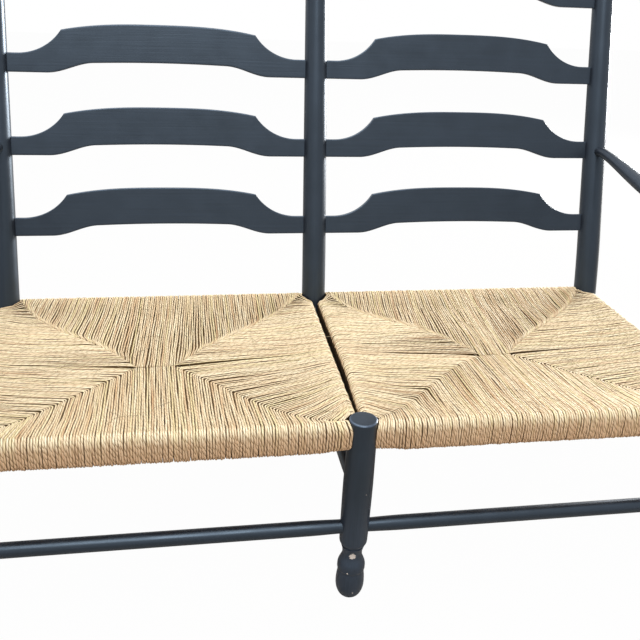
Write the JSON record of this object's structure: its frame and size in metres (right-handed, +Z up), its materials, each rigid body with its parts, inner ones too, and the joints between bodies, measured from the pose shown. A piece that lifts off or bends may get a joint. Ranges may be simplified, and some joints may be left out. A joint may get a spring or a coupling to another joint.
{
  "type": "ladder-back bench",
  "caption": "Two-seat ladder-back bench with raked posts, shaped slats, turned legs, round stretchers, arms at both ends and woven rush seats.",
  "frame": {"origin": "on the floor, at the middle of the bench's bounding box", "axes": "+X to the sitter's left along the bench, seen from the front to the right; +Y to the back; +Z up"},
  "size_m": [1.366, 0.7391, 1.1194],
  "materials": {
    "painted_wood": "satin blue-black paint on turned hardwood",
    "rail_wood": "bare wood, hidden inside the rush",
    "rush": "twisted natural seagrass or rush cord",
    "padding": "dry rush stuffing between the two faces of a seat"
  },
  "bodies": {
    "root": {"rear_post_left": "painted_wood", "rear_post_centre": "painted_wood", "rear_post_right": "painted_wood", "slat_left_1": "painted_wood", "slat_left_2": "painted_wood", "slat_left_3": "painted_wood", "slat_left_4": "painted_wood", "slat_right_1": "painted_wood", "slat_right_2": "painted_wood", "slat_right_3": "painted_wood", "slat_right_4": "painted_wood", "slat_pegs": "painted_wood", "front_leg_left": "painted_wood", "front_leg_centre": "painted_wood", "front_leg_right": "painted_wood", "front_rail_left": "rail_wood", "front_rail_right": "rail_wood", "rear_rail_left": "rail_wood", "rear_rail_right": "rail_wood", "side_rail_left": "rail_wood", "side_rail_right": "rail_wood", "middle_rail_left": "rail_wood", "middle_rail_right": "rail_wood", "front_stretcher_left": "painted_wood", "front_stretcher_right": "painted_wood", "rear_stretcher_left": "painted_wood", "rear_stretcher_right": "painted_wood", "side_stretcher_left": "painted_wood", "side_stretcher_right": "painted_wood", "side_stretcher_centre": "painted_wood", "arm_left": "painted_wood", "arm_right": "painted_wood", "rush_seat_left": "rush", "rush_seat_right": "rush", "seat_padding_left": "padding", "seat_padding_right": "padding"}
  },
  "joints": []
}
